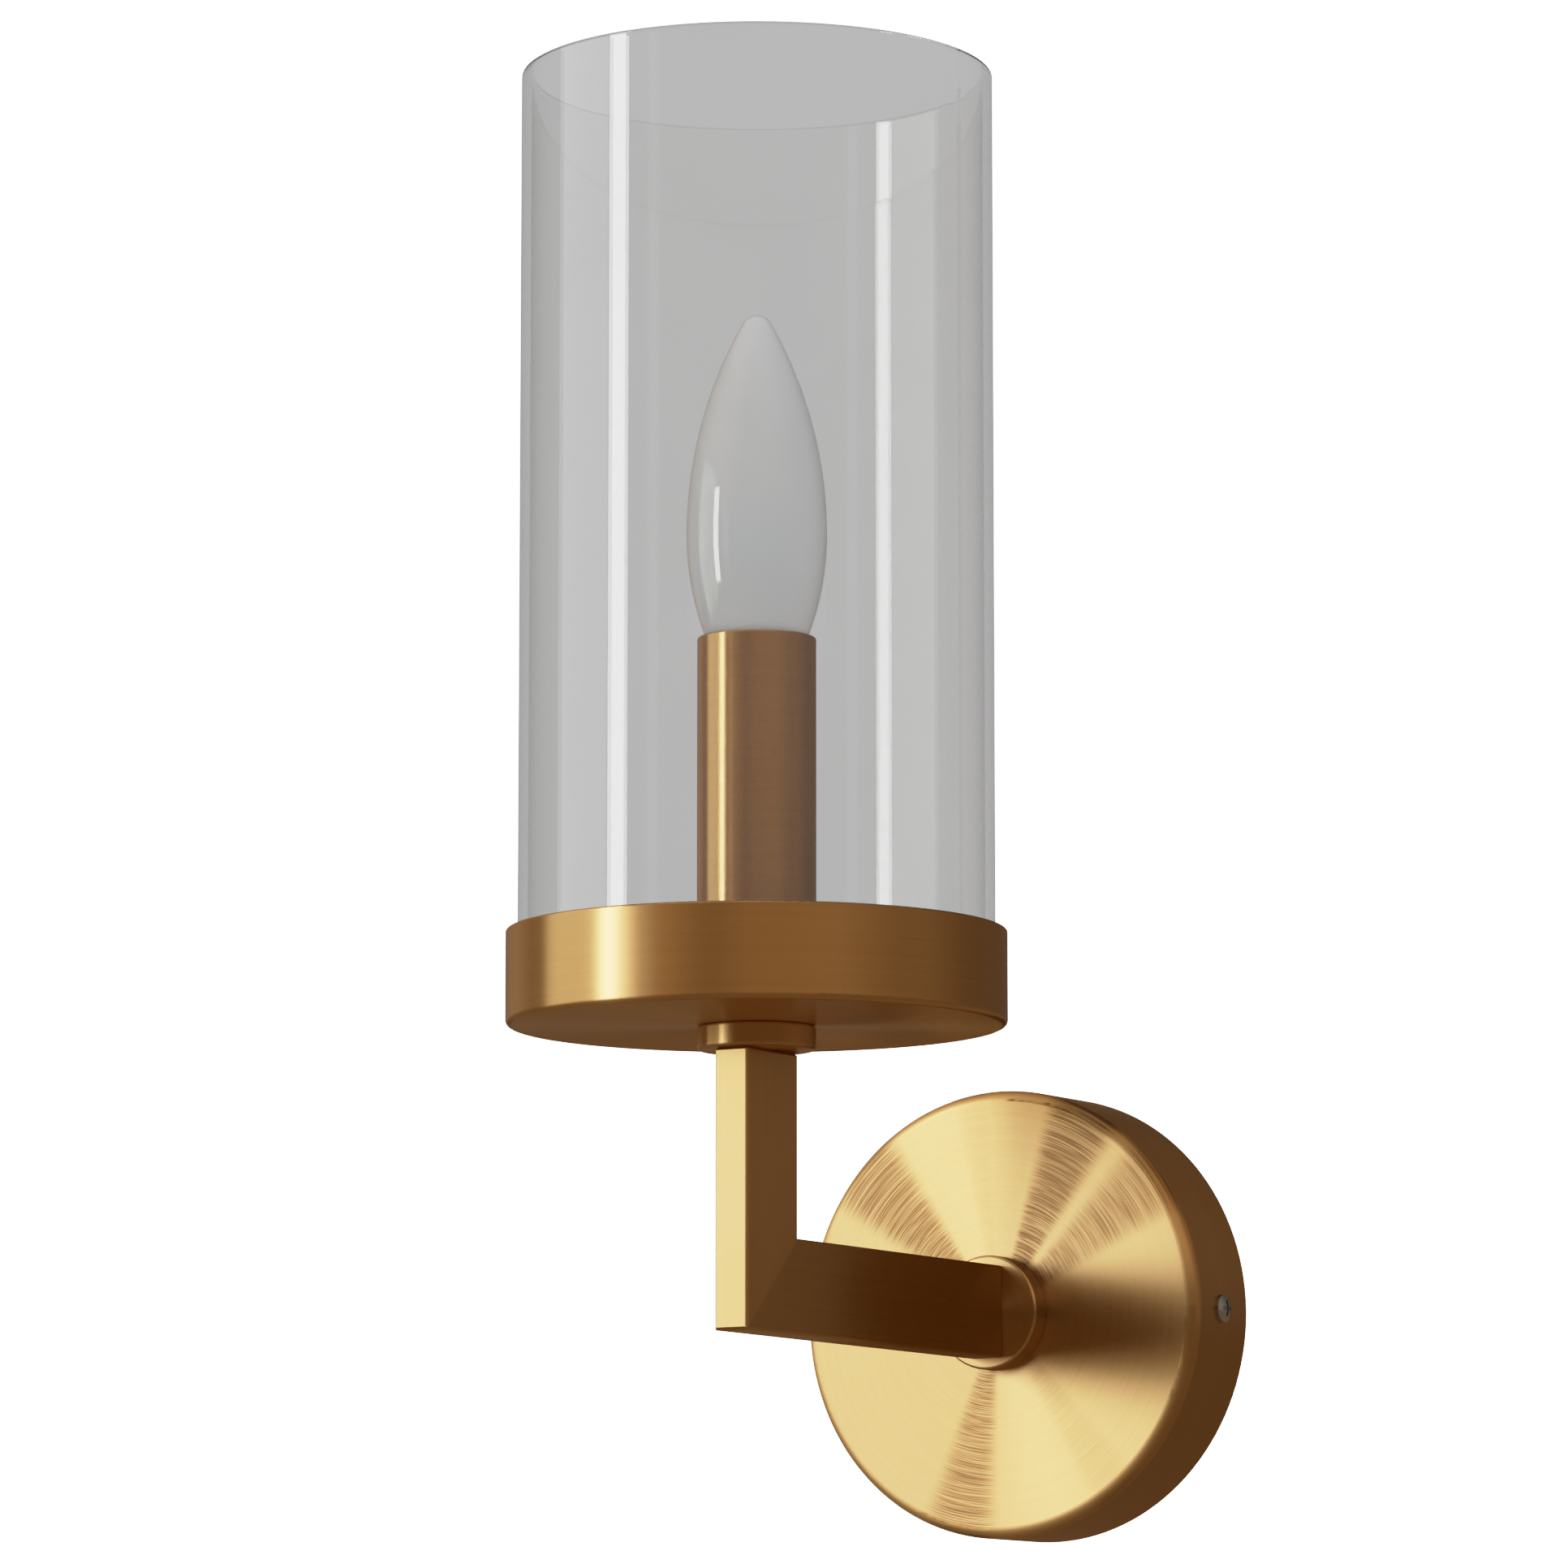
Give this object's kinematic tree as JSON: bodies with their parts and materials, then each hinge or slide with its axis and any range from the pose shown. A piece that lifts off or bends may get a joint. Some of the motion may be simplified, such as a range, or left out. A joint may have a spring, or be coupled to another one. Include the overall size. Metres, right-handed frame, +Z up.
{
  "type": "candle wall sconce",
  "caption": "Electric wall sconce shaped like a candle holder: round canopy, L-shaped bar arm, shallow dish, open glass cylinder, metal candle sleeve and candle bulb.",
  "frame": {"origin": "centre of the canopy's back on the wall plane, between the bracket's two wall slots", "axes": "+Z up along the candle, +Y into the wall, the sconce stands out along -Y, +X to the right seen from the room"},
  "size_m": [0.126, 0.212, 0.3672],
  "materials": {
    "satin_brass": "satin brushed, antique brass tone",
    "plain_brass": "plain turned",
    "zinc_steel": "zinc plated",
    "cream_plastic": "matte moulded",
    "white_ceramic": "unglazed",
    "nickel": "nickel plated",
    "black_glass": "gloss",
    "clear_glass": "clear polished",
    "opal_glass": "opal, glossy",
    "stem_glass": "clear",
    "filament": "gloss",
    "soft_ring": "translucent silicone",
    "brown_insulation": "matte",
    "blue_insulation": "matte",
    "green_insulation": "matte"
  },
  "bodies": {
    "fixture": {"wall_bracket": "zinc_steel", "canopy": "satin_brass", "canopy_screws": "zinc_steel", "terminal_block": "cream_plastic", "terminal_sleeves": "plain_brass", "terminal_screws": "zinc_steel", "terminal_block_screws": "zinc_steel", "earth_screw": "zinc_steel", "earth_tag": "plain_brass", "earth_wire": "green_insulation", "live_wire": "brown_insulation", "neutral_wire": "blue_insulation", "arm_boss": "satin_brass", "arm_nipple": "plain_brass", "canopy_lock_washer": "zinc_steel", "canopy_nut": "plain_brass", "nipple_bush": "cream_plastic", "arm": "satin_brass", "dish_collar": "satin_brass", "centre_tube": "plain_brass", "dish": "satin_brass", "locating_washer": "zinc_steel", "dish_nut": "plain_brass", "glass_cushion": "soft_ring", "candle_sleeve": "satin_brass", "lampholder_base": "cream_plastic", "lampholder_grub_screw": "zinc_steel", "lampholder_insert": "white_ceramic", "lampholder_terminals": "plain_brass", "lampholder_contact": "plain_brass", "lampholder_shell": "nickel", "lampholder_skirt": "cream_plastic"},
    "glass": {"glass_cylinder": "clear_glass"},
    "bulb_carriage": {"bulb_contact": "nickel"},
    "bulb": {"bulb_insulator": "black_glass", "bulb_cap": "nickel", "bulb_glass": "opal_glass", "bulb_stem": "stem_glass", "bulb_filament": "filament"}
  },
  "joints": [
    {"name": "glass_lift", "type": "slide", "parent": "fixture", "child": "glass", "axis": [0, 0, 1], "range_m": [0, 0.25]},
    {"name": "bulb_rise", "type": "slide", "parent": "fixture", "child": "bulb_carriage", "axis": [0, 0, 1], "range_m": [0, 0.0142]},
    {"name": "bulb_unscrew", "type": "hinge", "parent": "bulb_carriage", "child": "bulb", "pos_m": [0, -0.149, 0.2], "axis": [0, 0, 1], "range_deg": [0, 1800]}
  ],
  "couplings": [
    {"joint": "bulb_rise", "follows": "bulb_unscrew", "m_per_rad": 0.00044882}
  ]
}
